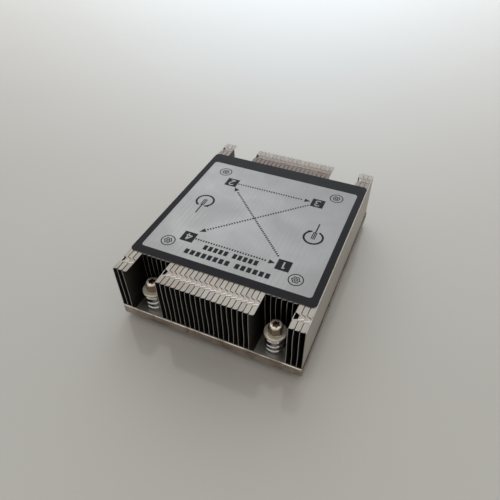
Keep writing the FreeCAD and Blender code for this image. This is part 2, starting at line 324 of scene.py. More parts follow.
def shearedAluminium():
    # sheared edge of the sheet: grey and grained across the cut, a little duller than the rolled face
    look = {"light": "#dedddb", "dark": "#a3a19f", "grain": 0.5, "roughness": (0.36, 0.55), "relief": 0.02}
    return grainedMetal("aluminiumSheared", look)


def highlightedAluminium():
    # near edge of each interlock tab, pressed home; painted lighter as a painted highlight
    look = {"light": "#d2cec8", "dark": "#a39b93", "grain": 0.4, "roughness": (0.3, 0.45), "relief": 0.01}
    return grainedMetal("aluminiumPaintedHighlight", look, metallic=0.6)


def finProfile(edge, tabReach, fold):
    # outer face of the folded sheet as x and z: foot inwards, foot fold, wall, top fold, flange, tab
    foot = np.linspace(270, 180, 4) * math.pi / 180
    top = np.linspace(180, 90, 7) * math.pi / 180
    wall = np.linspace(fin["footFold"], fin["height"] - fold, 8)[1:-1]
    flange = np.concatenate([[fold + fin["foldMargin"], (fold + fin["holeReach"]) / 2],
                             np.linspace(fin["holeReach"], edge, 3)])
    tab = np.linspace(edge, tabReach, 4)[1:]
    x = np.concatenate([[fin["pitch"] - fin["seam"]], fin["footFold"] * (1 + np.cos(foot)), 0 * wall,
                        fold * (1 + np.cos(top)), flange, tab])
    z = np.concatenate([[0], fin["footFold"] * (1 + np.sin(foot)), wall,
                        fin["height"] + fold * (np.sin(top) - 1),
                        np.full(len(flange) + len(tab), fin["height"])])
    return x, z


def finStations(reach):
    # places along Y: both ends with their corners, both sides of each interlock row, the lip in from its
    # near side, and even steps between
    rows = np.array([side * row for row in fin["rows"] for side in (-1, 1) if row < reach])
    half = fin["holeRoot"] / 2
    marks = np.concatenate([rows - half, rows - half + fin["lipWidth"], rows + half])
    ends = np.array([0, fin["corner"] / 2, fin["corner"], 3])
    fixed = np.sort(np.concatenate([marks, ends - reach, reach - ends]))
    step = fin["step"]
    extra = [np.linspace(start, end, int((end - start) // step) + 2)[1:-1]
             for start, end in zip(fixed[:-1], fixed[1:]) if end - start > step]
    return rows, np.sort(np.concatenate([fixed, *extra]))


def makeFin(number, materials):
    # the profile carried along Y; at the interlock rows its station lines slant in to the hole's tip and
    # its faces are left out inside the hole, and past the flange's edge faces stand only where a tab is
    low, high = boxOf(f"fin_{number:02d}")
    last = number == fin["count"]
    reach, height = high[1], fin["height"]
    tabEnd = fin["pitch"] + (fin["gauge"] if last else fin["holeReach"] - fin["tipPlay"])
    edge = fin["pitch"] - fin["seam"] if last else fin["pitch"] + fin["overlap"]
    outer = number == 1
    fold = fin["outerFold"] if outer else fin["topFold"]
    x, z = finProfile(edge, tabEnd, fold)
    rows, y = finStations(reach)
    random = np.random.default_rng(number)
    onTab = x > edge - edgeMargin

    # half the interlock's width at each x: from hole root to hole tip, then from tab root to tab tip
    tabTip = fin["holeRoot"] if last else fin["holeTip"]
    half = np.where(onTab, np.interp(x, [edge, tabEnd], [fin["holeRoot"] / 2, tabTip / 2]),
                    np.interp(x, [0, fin["holeReach"]], [fin["holeRoot"] / 2, fin["holeTip"] / 2]))
    nearest = rows[np.abs(y[:, None] - rows).argmin(axis=1)]
    away = y - nearest
    isNear = np.isclose(away, -fin["holeRoot"] / 2)
    isLip = np.isclose(away, fin["lipWidth"] - fin["holeRoot"] / 2)
    isFar = np.isclose(away, fin["holeRoot"] / 2)
    nearSide = nearest[:, None] - half + fin["nearPlay"] * onTab + fin["lipWidth"] * isLip[:, None]
    farSide = nearest[:, None] + half - fin["farPlay"] * onTab
    alongY = np.where((isNear | isLip)[:, None], nearSide, np.where(isFar[:, None], farSide, y[:, None]))
    acrossX = np.broadcast_to(x, alongY.shape).copy()
    upZ = np.broadcast_to(z, alongY.shape).copy()

    # round free corners of the flange: the ends draw back by a quarter circle, and the stations half a
    # corner in from them by a share of it
    over = np.clip((x - edge + fin["corner"]) / fin["corner"], 0, 1) * (z > height / 2)
    drawn = fin["corner"] * (1 - np.sqrt(1 - over ** 2))
    fromEnd = reach - np.abs(y)[:, None]
    drawnShare = np.where(fromEnd < edgeMargin, 1, fin["cornerShare"]) * (fromEnd < fin["corner"] * 0.9)
    alongY -= np.sign(y)[:, None] * drawn * drawnShare

    # the wall wanders: half and whole sine waves over its height, which grow as an exponential towards its
    # free ends and drift as a cosine along it
    share = np.clip(z / height, 0, 1) * (x < fold)
    free = fin["bend"] + (fin["endBend"] - fin["bend"]) * np.exp(-fromEnd / fin["endReach"])
    sway = random.normal(0, 0.5, 3)
    wave = sway[0] * np.sin(math.pi * share) + (0.7 + 0.5 * sway[1]) * np.sin(2 * math.pi * share)
    mean, swing = fin["drift"]
    drift = np.cos(y / fin["driftLength"] + random.uniform(0, 6.3)) * swing + mean
    acrossX += free * drift[:, None] * wave * (fin["outerBend"] if outer else 1)

    # each flange lies a little lower and is tilted a little to the next one; a tab's near edge stands up and
    # its far edge droops
    tilt = (z > height / 2) * np.clip(x / edge, 0, 1)
    upZ -= (random.uniform(0, fin["sag"]) + random.uniform(0, fin["sag"]) * tilt) * (z > height - 0.5)
    lip = isNear & (np.abs(nearest) > fin["rows"][1] + 1)
    droop = np.where(nearest > 0, fin["backDroop"], 1) * fin["droop"] * isFar
    upZ += (fin["lip"] * lip - droop)[:, None] * (x > edge)

    # faces outside the holes and on the tabs; a full fin has no outer tabs where its neighbour is cut back
    faces = gridFaces(len(y), len(x))
    centreX, centreZ = (x[1:] + x[:-1]) / 2, (z[1:] + z[:-1]) / 2
    inRow = np.abs(away[1:] + away[:-1]) / 2 < fin["holeRoot"] / 2 - faceMargin
    inRow &= nearest[1:] == nearest[:-1]
    holed = (centreX < fin["holeReach"]) & (centreZ > height - fold)
    tab = centreX > edge
    neighbourShort = not last and boxOf(f"fin_{number + 1:02d}")[1][1] < reach
    innerRow = np.abs(nearest[1:]) < reach - fin["rowMargin"]
    tabRow = inRow & (innerRow | (not neighbourShort))
    keep = ~(inRow[:, None] & holed) & (~tab | tabRow[:, None])
    # the near tab edges of the front rows get the lighter material, a painted highlight
    highlighted = (lip & (nearest < 0))[:-1, None] & (centreX > fin["holeReach"])
    points = np.stack([acrossX, alongY, upZ], axis=-1).reshape(-1, 3) + [low[0], 0, low[2]]
    return newPiece(f"folded_fin_{number:02d}", points, faces[keep], materials,
                    stands=[f"fin_{number:02d}"], gauge=fin["sheet"], crease=18, second=highlighted[keep])


def makeClosingSheet(materials):
    # flat sheet at the right side, with a notch in its top edge at each interlock row; it stands in by a
    # half sine over its height times a raised cosine along it
    low, high = lastLow, lastHigh
    half = fin["holeRoot"] / 2
    rows = np.array([side * row for row in fin["rows"] for side in (-1, 1)])
    y = np.sort(np.concatenate([np.linspace(low[1], high[1], 20), rows - half, rows + half]))
    height = high[2] - low[2]
    z = np.append(np.linspace(0, height - fin["gauge"] - fin["tipPlay"], 8), height)
    share = z / z[-1]
    alongY, upZ = np.meshgrid(y, z, indexing="ij")
    along = (1 + np.cos(y / fin["bulgeLength"]))[:, None] / 2
    acrossX = high[0] - low[0] - fin["bulge"] * np.sin(math.pi * share) * along
    nearest = np.abs(y[:, None] - rows).min(axis=1)
    notched = (nearest[1:] + nearest[:-1]) / 2 < half - faceMargin
    keep = ~(notched[:, None] & (np.arange(len(z) - 1) == len(z) - 2))
    faces = gridFaces(len(y), len(z))[..., ::-1]
    points = np.stack([acrossX, alongY, upZ], axis=-1).reshape(-1, 3) + [low[0], 0, low[2]]
    return newPiece("closing_sheet", points, faces[keep], materials, stands=["fin_38"],
                    gauge=fin["gauge"])


# each fin's rim has the last material, and the closing sheet's rim is as its faces
finMaterials = [stampedAluminium(), highlightedAluminium(), shearedAluminium()]
for number in range(1, fin["count"] + 1):
    makeFin(number, finMaterials)
makeClosingSheet(finMaterials[:1])
print("fins folded:", fin["count"])


def nickelOnCopper():
    # electroless nickel on a milled plate: warm grey and satin at its edges, with cloudy brownish handling
    # marks and fine milling; painted light makes its top lighter and greyer, with a painted highlight on the
    # bevel and painted shade in the crevice
    look = {
        # on these lines: top is painted light on the plate's top, the bevel colour is a painted highlight,
        # and the colour on the next line is painted shade in the crevice
        "side": "#b3a69b", "mark": "#7c6b61", "top": "#cbcac7", "bevel": "#f0ece4", "milled": "#c4bbae",
        "paintedShade": "#3a2f29",
        "markSize": 7, "millWidth": 0.3, "millLength": 6, "roughness": (0.3, 0.46), "relief": 0.006,
        "milledShare": 0.3, "litTopShare": 0.85, "bevelShare": 0.25, "paintedShadeShare": 0.9,
        "sideBand": (0.5, 0.3),       # in from the plate's sides
        "shadeBand": (0.8, 0.4),      # below the plate's top
    }
    material, tree, shader, place = newMaterial("nickelPlatedPlate", {"Metallic": 1.0})
    marks = addNode(tree, "TexNoise", {"Vector": place, "Scale": perMetre(look["markSize"]), "Detail": 6.0,
                                       "Distortion": 0.8})
    share = addNode(tree, "MapRange", {"Value": marks, "From Min": 0.4, "From Max": 0.68})
    layers = {"mark": [share]}
    drawn = (1, look["millWidth"] / look["millLength"], 1)
    drawn = addNode(tree, "Mapping", {"Vector": place, "Scale": drawn})
    milled = addNode(tree, "TexNoise", {"Vector": drawn, "Scale": perMetre(look["millWidth"]), "Detail": 3.0})
    layers["milled"] = [addNode(tree, "MapRange", {"Value": milled, "From Min": 0.4, "From Max": 0.7,
                                                   "To Max": look["milledShare"]})]

    # painted light: the top is painted lighter and greyer, and the bevel, which faces half way up, has a
    # painted highlight
    facing = addNode(tree, "NewGeometry", {}, "True Normal")
    up = addNode(tree, "SeparateXYZ", {0: facing}, "Z")
    layers["top"] = [addNode(tree, "MapRange", {"Value": up, "From Min": 0.85, "From Max": 0.95,
                                                "To Max": look["litTopShare"]})]
    slant = addNode(tree, "Math", {0: up, 1: math.sqrt(0.5), 2: 0.15}, operation="COMPARE")
    worn = addNode(tree, "MapRange", {"Value": marks, "From Min": 0.42, "From Max": 0.56, "To Min": 1.0,
                                      "To Max": look["bevelShare"]})
    layers["bevel"] = [slant, worn]

    # painted shade in the crevice at the foot of the fins' outer sides
    x = addNode(tree, "SeparateXYZ", {0: place}, "X")
    side = addNode(tree, "Math", {0: x}, operation="ABSOLUTE")
    inner, outer = ((plateHigh[0] - depth) * mm for depth in look["sideBand"])
    foot = addNode(tree, "MapRange", {"Value": side, "From Min": inner, "From Max": outer})
    z = addNode(tree, "SeparateXYZ", {0: place}, "Z")
    lower, higher = ((plateHigh[2] - depth) * mm for depth in look["shadeBand"])
    upper = addNode(tree, "MapRange", {"Value": z, "From Min": lower, "From Max": higher,
                                       "To Max": look["paintedShadeShare"]})
    layers["paintedShade"] = [foot, upper]
    colour = layColours(tree, look, "side", layers)
    finishSurface(tree, shader, look, colour, marks, milled)
    return material


def lappedNickel():
    # nickel-plated copper block, lapped flat: bright and warm, with fine circular grinding marks
    look = {"light": "#cdbfa6", "dark": "#b9b2a6", "ring": 1.2, "wear": 9, "roughness": (0.2, 0.32),
            "relief": 0.004}
    material, tree, shader, place = newMaterial("nickelPlatedCopperLapped", {"Metallic": 1.0})
    # at scale 1 a wave texture has one ring in tau / 20 units
    rings = addNode(tree, "TexWave", {"Vector": place, "Scale": perMetre(look["ring"]) * math.tau / 20,
                                      "Distortion": 1.5, "Detail": 3.0}, 1, wave_type="RINGS",
                    rings_direction="Z")
    wear = addNode(tree, "TexNoise", {"Vector": place, "Scale": perMetre(look["wear"]), "Detail": 4.0})
    colour = layColours(tree, look, "light", {"dark": [wear]})
    finishSurface(tree, shader, look, colour, rings, rings, (0, 1))
    return material


def ringSteel():
    # stamped spring steel, oiled: dark grey, blackened in places
    look = {"light": "#8b8884", "dark": "#615c57", "grain": 1.5, "roughness": (0.28, 0.45), "relief": 0.01}
    return grainedMetal("springSteelStamped", look, detail=4.0, spread=(0.4, 0.7))


# plate, block and rings keep their CAD meshes
finishes = {"base_plate": nickelOnCopper(), "contact_block": lappedNickel()}
finishes |= dict.fromkeys([f"ring_{name}" for name in screwNames], ringSteel())
for node, material in finishes.items():
    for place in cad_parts[node].material_slots:
        place.material = material
print("plate, block and rings finished")


screwLow, screwHigh = boxOf("screw_front_right")
screw = {
    "centre": (screwLow + screwHigh)[:2] / 2,   # of the front right one; the others mirror it
    "across": 5.4,           # hexagon, over its flats
    "threadPitch": 0.7,
    "threadDepth": 0.4,
    "lobe": 0.275,           # how far the drive's lobes and valleys go from their mean radius
    "sides": 96,
    "threadRuns": 14,        # rows of faces along the thread
    "collarTop": 10.1,       # above the plate's top, as in the profile
    "headTop": 14.3,
    # radius, height above the plate's top, form: 0 round, 1 hexagon, 2 lobed, 3 thread
    "profile": [(0, -7.2, 0), (1.5, -7.2, 0), (2.0, -6.9, 3), (2.0, -5.3, 3), (1.65, -5.2, 0), (1.65, 9.1, 0),
                (4.35, 9.1, 0), (4.55, 9.16, 0), (4.65, 9.3, 0), (4.65, 9.85, 0), (4.6, 10.0, 0),
                (4.45, 10.08, 0), (4.36, 10.1, 0), (3.3, 10.1, 0), (3.08, 10.1, 0), (3.05, 10.12, 1),
                (3.05, 10.3, 1), (3.05, 13.45, 1), (2.95, 13.75, 1), (2.75, 14.02, 1), (2.5, 14.2, 1),
                (2.3, 14.3, 0), (2.2, 14.3, 0), (1.95, 14.3, 0), (1.85, 14.3, 0), (1.47, 14.3, 2),
                (1.47, 14.25, 2), (1.46, 14.15, 2), (1.44, 12.5, 2), (1.4, 12.35, 2), (0.6, 12.3, 0),
                (0, 12.3, 0)],
}


def turnedNickel():
    # turned steel screw, nickel plated: warm and bright on its faces, with fine turning marks; a brownish
    # painted reflection on the hexagon sides, and painted shade on the walls of its brown recess
    look = {
        # side is a painted brownish reflection on the hexagon, and the colour after it is painted shade on
        # the recess walls
        "bright": "#e6e0d2", "dulled": "#c9bfad", "side": "#6f5f50", "paintedShade": "#5e4138",
        "floor": "#b8917f",
        "spot": 1.6, "mark": 0.25, "roughness": (0.16, 0.3), "relief": 0.004,
        "headMetal": 0.85, "collarMetal": 0.4,   # the collar is matt from the spring
        "sideReflectionShare": 0.85, "paintedShadeShare": 0.9,
        "headBand": (0.05, 0.3),      # above the collar, the head begins
        "sideBand": (0.4, 0.12),      # below the head's top, the painted brownish reflection on its sides ends
        "recess": (2.1, 1.9),         # radii between which the recess begins
        "recessBand": (0.03, 0.1),    # below the head's top, its walls begin
        "floorBand": (1.7, 1.9),      # and its floor
    }
    material, tree, shader, place = newMaterial("nickelPlatedSteelTurned", {})
    spots = addNode(tree, "TexNoise", {"Vector": place, "Scale": perMetre(look["spot"]), "Detail": 4.0})
    marks = addNode(tree, "TexNoise", {"Vector": place, "Scale": perMetre(look["mark"]), "Detail": 3.0})
    share = addNode(tree, "MapRange", {"Value": spots, "From Min": 0.4, "From Max": 0.7})
    layers = {"dulled": [share]}

    # distance from the nearest screw's axis: all four are mirrored into one
    folded = addNode(tree, "VectorMath", {0: place}, operation="ABSOLUTE")
    flat = addNode(tree, "VectorMath", {0: folded, 1: (1, 1, 0)}, operation="MULTIPLY")
    centre = (abs(screw["centre"][0]) * mm, abs(screw["centre"][1]) * mm, 0)
    radius = addNode(tree, "VectorMath", {0: flat, 1: centre}, "Value", operation="DISTANCE")
    z = addNode(tree, "SeparateXYZ", {0: place}, "Z")
    collarTop, headTop = (plateHigh[2] + screw[key] for key in ("collarTop", "headTop"))
    near, far = look["headBand"]
    onHead = addNode(tree, "MapRange", {"Value": z, "From Min": (collarTop + near) * mm,
                                        "From Max": (collarTop + far) * mm})
    # painted reflection: the hexagon's sides are painted brownish
    far, near = look["sideBand"]
    outside = addNode(tree, "MapRange", {"Value": z, "From Min": (headTop - far) * mm,
                                         "From Max": (headTop - near) * mm,
                                         "To Min": look["sideReflectionShare"], "To Max": 0.0})
    layers["side"] = [onHead, outside]
    # painted shade: the recess walls are painted dark brown, and its floor a lighter brown
    far, near = look["recess"]
    inside = addNode(tree, "MapRange", {"Value": radius, "From Min": far * mm, "From Max": near * mm})
    near, far = look["recessBand"]
    sunk = addNode(tree, "MapRange", {"Value": z, "From Min": (headTop - near) * mm,
                                      "From Max": (headTop - far) * mm, "To Max": look["paintedShadeShare"]})
    near, far = look["floorBand"]
    deep = addNode(tree, "MapRange", {"Value": z, "From Min": (headTop - near) * mm,
                                      "From Max": (headTop - far) * mm})
    share = addNode(tree, "Math", {0: inside, 1: sunk}, operation="MULTIPLY")
    share = addNode(tree, "Math", {0: share, 1: onHead}, operation="MULTIPLY")
    recess = layColours(tree, look, "paintedShade", {"floor": [deep]})
    colour = layColours(tree, look, "bright", layers)
    colour = addNode(tree, "Mix", {0: share, 6: colour, 7: recess}, 2, data_type="RGBA")
    metallic = addNode(tree, "MapRange", {"Value": onHead, "To Min": look["collarMetal"],
                                          "To Max": look["headMetal"]})
    fill(tree, shader, {"Metallic": metallic})
    finishSurface(tree, shader, look, colour, spots, marks)
    return material


def screwSurface():
    # radius by turn and height: a profile of straight runs, on which the hexagon is the smaller of the
    # profile's radius and the flats' own, the drive is the radius plus a cosine of six periods, and the
    # thread is the radius less a triangle wave that climbs one pitch a turn
    radius, height, form = np.array(screw["profile"]).T
    steps = np.where((form[1:] == 3) & (form[:-1] == 3), screw["threadRuns"], 1)
    place = np.concatenate([n + np.arange(s) / s for n, s in enumerate(steps)] + [[len(radius) - 1]])
    outward = np.interp(place, np.arange(len(radius)), radius)[:, None]
    upward = np.interp(place, np.arange(len(height)), height)[:, None]
    kind = form[np.floor(place).astype(int)][:, None]
    turn = np.linspace(0, 2 * math.pi, screw["sides"], endpoint=False)
    flats = screw["across"] / 2 / np.cos((turn + math.pi / 6) % (math.pi / 3) - math.pi / 6)
    climb = np.abs(((upward / screw["threadPitch"] - turn / (2 * math.pi)) % 1) * 2 - 1)
    shaped = np.where(kind == 1, np.minimum(outward, flats), outward + 0 * turn)
    shaped = np.where(kind == 2, outward + screw["lobe"] * np.cos(6 * turn), shaped)
    shaped = np.where(kind == 3, outward - screw["threadDepth"] * (1 - climb), shaped)
    return np.stack([shaped * np.cos(turn), shaped * np.sin(turn), upward + 0 * turn], axis=-1)


def makeScrew(name, material):
    low, high = boxOf(f"screw_{name}")
    surface = screwSurface()
    rows, sides, _ = surface.shape
    centre = [(low[0] + high[0]) / 2, (low[1] + high[1]) / 2, plateHigh[2]]
    newPiece(f"captive_screw_{name}", surface.reshape(-1, 3) + centre, gridFaces(rows, sides, True),
             [material], body=f"screw_{name}", stands=[f"screw_{name}"], crease=24)


spring = {
    "wire": 1.2,
    "turns": 3.75,
    "length": 9.1,
    "perTurn": 40,
    "around": 18,
}


def springSteel():
    # drawn spring wire, bright zinc plated and clear passivated: mirror-like, with a little uneven tone
    look = {"light": "#e8e9ea", "dark": "#8f8f8d", "grain": 1.2, "roughness": (0.06, 0.14), "relief": 0.006}
    return grainedMetal("zincPlatedSpringWire", look)


def springSurface(diameter):
    # a circle of the wire's radius carried along a helix; the helix climbs one wire in its first and last
    # turn, evenly between them, and both ends are ground flat
    turns, wire, length = spring["turns"], spring["wire"], spring["length"]
    turn = np.linspace(0, turns, round(turns * spring["perTurn"]) + 1)
    rise = np.interp(turn, [0, 1, turns - 1, turns], [0, wire, length - 2 * wire, length - wire])
    radius = (diameter - wire) / 2
    angle = 2 * math.pi * turn
    centre = np.stack([radius * np.cos(angle), radius * np.sin(angle), rise + wire / 2], axis=-1)
    ahead = np.gradient(centre, axis=0)
    ahead /= np.linalg.norm(ahead, axis=1, keepdims=True)
    out = np.stack([np.cos(angle), np.sin(angle), 0 * angle], axis=-1)
    out -= ahead * (out * ahead).sum(axis=1, keepdims=True)
    up = np.cross(ahead, out)
    about = np.linspace(0, 2 * math.pi, spring["around"], endpoint=False)
    ring = out[:, None] * np.cos(about)[:, None] + up[:, None] * np.sin(about)[:, None]
    tube = centre[:, None] + wire / 2 * ring
    tube[..., 2] = np.clip(tube[..., 2], 0, length)
    caps = [np.broadcast_to(centre[n], tube[n].shape)[None] for n in (0, -1)]
    return np.concatenate([caps[0], tube, caps[1]])


def makeSpring(name, material):
    low, high = boxOf(f"spring_{name}")
    surface = springSurface(high[0] - low[0])
    rows, sides, _ = surface.shape
    centre = [*((low + high) / 2)[:2], plateHigh[2]]
    piece = newPiece(f"coil_spring_{name}", surface.reshape(-1, 3) + centre, gridFaces(rows, sides, True),
                     [material], stands=[f"spring_{name}"], crease=50)
    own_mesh(piece)


screwMaterial, wireMaterial = turnedNickel(), springSteel()
for name in screwNames:
    makeScrew(name, screwMaterial)
    makeSpring(name, wireMaterial)
print("screws and springs made:", len(screwNames))


def silverFilm():
    # metallised polyester film, calendered: satin silver; the fins' strips under it show as faint ribs, more
    # in some places than in others, with painted shade along them and towards the film's far right corner
    look = {
        # the last two colours on the next line are painted shade: towards the far right corner and along the
        # ribs
        "light": "#a9a9a9", "dark": "#989898", "cornerShade": "#7d7d7e", "ribReliefAndShade": "#888886",
        "smudge": "#87817a", "smudgeSize": 13, "smudgeShare": 0.8, "ribShadeShare": 0.42, "ribReach": 0.45,
        "cornerShadeBand": (-35, 45), "cornerShadeShare": 0.8,   # along the diagonal, the film is painted darker: painted shade
        "cloud": 22, "patch": 30, "brush": 0.2, "brushLength": 12, "roughness": (0.42, 0.52), "relief": 0.003,
    }
    material, tree, shader, place = newMaterial("metallisedPolyesterFilm", {"Metallic": 0.7})
    cloud = addNode(tree, "TexNoise", {"Vector": place, "Scale": perMetre(look["cloud"]), "Detail": 3.0,
                                       "Distortion": 0.5})
    share = addNode(tree, "MapRange", {"Value": cloud, "From Min": 0.35, "From Max": 0.65})
    layers = {"dark": [share]}

    # painted shade: the film is painted darker towards its far right corner
    reach = addNode(tree, "VectorMath", {0: place, 1: (0.7, 0.7, 0)}, "Value", operation="DOT_PRODUCT")
    near, far = look["cornerShadeBand"]
    cornerShading = addNode(tree, "MapRange", {"Value": reach, "From Min": near * mm, "From Max": far * mm,
                                        "To Max": look["cornerShadeShare"]})
    layers["cornerShade"] = [cornerShading]

    # brownish smudges from handling, more towards the same corner
    smudges = addNode(tree, "TexNoise", {"Vector": place, "Scale": perMetre(look["smudgeSize"]),
                                         "Detail": 4.0, "Distortion": 0.4})
    share = addNode(tree, "MapRange", {"Value": smudges, "From Min": 0.52, "From Max": 0.76,
                                       "To Max": look["smudgeShare"]})
    layers["smudge"] = [share, cornerShading]

    # ribs over the fins' seams: a bump, with painted shade darkening the film along them
    x = addNode(tree, "SeparateXYZ", {0: place}, "X")
    across = addNode(tree, "Math", {0: x, 1: left * mm}, operation="SUBTRACT")
    phase = addNode(tree, "Math", {0: across, 1: fin["pitch"] * mm / 2}, operation="PINGPONG")
    ribReliefAndShade = addNode(tree, "MapRange", {"Value": phase, "From Max": look["ribReach"] * mm, "To Min": 1.0,
                                     "To Max": 0.0}, interpolation_type="SMOOTHSTEP")
    patch = addNode(tree, "TexNoise", {"Vector": place, "Scale": perMetre(look["patch"]), "Detail": 2.0})
    shown = addNode(tree, "MapRange", {"Value": patch, "From Min": 0.42, "From Max": 0.62, "To Min": 0.15})
    ribReliefAndShade = addNode(tree, "Math", {0: ribReliefAndShade, 1: shown}, operation="MULTIPLY")
    layers["ribReliefAndShade"] = [ribReliefAndShade, look["ribShadeShare"]]
    drawn = addNode(tree, "Mapping", {"Vector": place, "Scale": (1, look["brush"] / look["brushLength"], 1)})
    brushed = addNode(tree, "TexNoise", {"Vector": drawn, "Scale": perMetre(look["brush"]), "Detail": 3.0})
    colour = layColours(tree, look, "light", layers)
    finishSurface(tree, shader, look, colour, brushed, ribReliefAndShade)
    return material


def printedInk():
    # screen-printed solvent ink: near black and half matt, with a fine grain and slightly rubbed patches
    look = {"dark": "#17171a", "rubbed": "#212125", "patch": 8, "grain": 0.4, "roughness": (0.5, 0.62),
            "relief": 0.004}
    material, tree, shader, place = newMaterial("screenPrintedInk",
                                                {"Metallic": 0.0, "Specular IOR Level": 0.12})
    patch = addNode(tree, "TexNoise", {"Vector": place, "Scale": perMetre(look["patch"]), "Detail": 4.0})
    share = addNode(tree, "MapRange", {"Value": patch, "From Min": 0.4, "From Max": 0.7})
    grain = addNode(tree, "TexNoise", {"Vector": place, "Scale": perMetre(look["grain"]), "Detail": 2.0})
    colour = layColours(tree, look, "dark", {"rubbed": [share]})
    finishSurface(tree, shader, look, colour, patch, grain)
    return material


labelLow, labelHigh = boxOf("top_label")
label = {
    "corner": 2.1,
    "field": (-38.2, -37.0, 38.2, 33.6),   # bright field inside the border: x and y from, x and y to
    "fieldCorner": 1.4,
    "rimScale": 0.9995,                     # the film's top is that much smaller than its outline
    "rimShare": 0.8,                        # share of its thickness at which the rim's round begins
    "ink": 0.02,                            # thickness of one print
    "square": 6.1,
    "numeral": (1.2, 0.64),                 # its size as a factor, and its stroke
    "squares": {1: (22.3, -24.8), 2: (-22.0, 19.6), 3: (22.5, 19.9), 4: (-21.9, -24.6)},
    "arrows": [((18.4, -20.6), (-18.9, 16.2)), ((-18.6, 19.6), (18.9, 20.0)),
               ((18.9, 17.0), (-19.2, -19.9)), ((-18.6, -24.6), (18.7, -24.9))],
    "dot": (0.68, 0.92),                    # a dot's length and width
    "dotStep": 1.25,
    "head": (2.9, 2.5),                     # an arrow head's length and width
    "screws": [(-29.0, 26.8), (29.6, 27.0), (-29.0, -30.1), (29.5, -30.3)],
    "screwRing": 3.0,
    "stroke": 0.46,
    "lobes": (1.5, 0.22, 0.24),             # radius, swing and half the stroke of a screw sign's lobes
    "core": (0.62, 0.45),                   # radius and stroke of the ring in them
    "drivers": [((-27.4, 1.0), -90), ((28.0, -3.8), 90)],   # centre and heading of the two driver signs
    "driverRing": 4.15,
    "ringStroke": 0.95,
    "ringHead": (1.7, 1.7),
    "opening": 22,                          # degrees from the driver to each end of its ring
    "driver": (-1.2, 3.4, 9.6),             # where its hatched shaft begins and ends, and its blade ends
    "driverStrokes": (0.42, 0.6, 0.35),     # of the hatch, the blade and the collar between them
    "driverAside": (0.7, 0.8),              # half the width of the hatch and of the collar
    # right end, height, blocks in each word and their step
    "lines": [(12.2, -27.9, (5, 5), 2.4), (19.4, -32.8, (6, 8), 2.68)],
    "block": (0.7, 2.8),                    # a block's width as a share of the step, and its height
    "wordGap": 0.7,                         # in steps
    "numeralCorners": {                     # upright, about the middle
        1: [(-0.6, 1.0), (0.1, 1.6), (0.1, -1.6)],
        2: [(-0.9, 1.1), (-0.4, 1.6), (0.5, 1.6), (0.9, 1.1), (0.9, 0.5), (-0.9, -1.6), (1.0, -1.6)],
        3: [(-0.95, 1.2), (-0.4, 1.6), (0.5, 1.6), (0.9, 1.1), (0.7, 0.5), (0.0, 0.1), (0.7, -0.25),
            (0.95, -0.9), (0.5, -1.5), (-0.4, -1.6), (-0.95, -1.2)],
        4: [(0.5, -1.6), (0.5, 1.6), (-1.15, -0.65), (1.2, -0.65)],
    },
}


def fieldBetween(first, second):
    # flat field between two lines of as many points, facing up
    x, y = np.stack([first, second]).transpose(2, 0, 1)
    faces = gridFaces(2, len(first)).reshape(-1, 4)
    turn = np.roll(faces, -1, axis=1)
    area = (x.ravel()[faces] * y.ravel()[turn] - x.ravel()[turn] * y.ravel()[faces]).sum(axis=1)
    faces = np.where(area[:, None] < 0, faces[:, ::-1], faces)
    return np.stack([x.ravel(), y.ravel()], axis=-1), faces


def arc(centre, radius, start=0, end=360, runs=36):
    # centre plus the radius times the cosine and sine of each turn, in degrees
    turn = np.radians(np.linspace(start, end, runs + 1))
    return np.array(centre) + np.stack([np.cos(turn), np.sin(turn)], axis=-1) * np.atleast_1d(radius)[:, None]


def band(centre, radius, width, start=0, end=360):
    # between the arcs half the width inside and outside the radius
    return fieldBetween(*(arc(centre, radius + side * width / 2, start, end) for side in (-1, 1)))


def bar(start, end, width):
    # between the lines half the width to each side of the run from start to end
    start, end = np.array(start, float), np.array(end, float)
    side = (end - start)[::-1] * [-1, 1] / np.linalg.norm(end - start) * width / 2
    return fieldBetween(np.array([start - side, end - side]), np.array([start + side, end + side]))


def arrowHead(tip, heading, length, width):
    # triangle with its point at the tip, heading in degrees
    ahead = np.array([math.cos(math.radians(heading)), math.sin(math.radians(heading))])
    side = ahead[::-1] * [-1, 1] * width / 2
    tip = np.array(tip, float)
    foot = tip - ahead * length
    return fieldBetween(np.array([tip, tip]), np.array([foot - side, foot + side]))


def dottedArrow(start, end):
    # dots at even steps from the start up to the head at the end
    start, end = np.array(start, float), np.array(end, float)
    length = np.linalg.norm(end - start)
    ahead = (end - start) / length
    headLength, headWidth = label["head"]
    count = int((length - headLength) / label["dotStep"])
    long, wide = label["dot"]
    fields = [bar(start + ahead * n * label["dotStep"], start + ahead * (n * label["dotStep"] + long), wide)
              for n in range(count)]
    return fields + [arrowHead(end, math.degrees(math.atan2(ahead[1], ahead[0])), headLength, headWidth)]


def screwSign(centre):
    # circle with a ring of six lobes, whose radius goes as a cosine, and a small ring in it
    radius, swing, half = label["lobes"]
    lobes = radius + swing * np.cos(6 * np.linspace(0, 2 * math.pi, 37))
    return [band(centre, label["screwRing"], label["stroke"]),
            fieldBetween(arc(centre, lobes - half), arc(centre, lobes + half)),
            band(centre, *label["core"])]


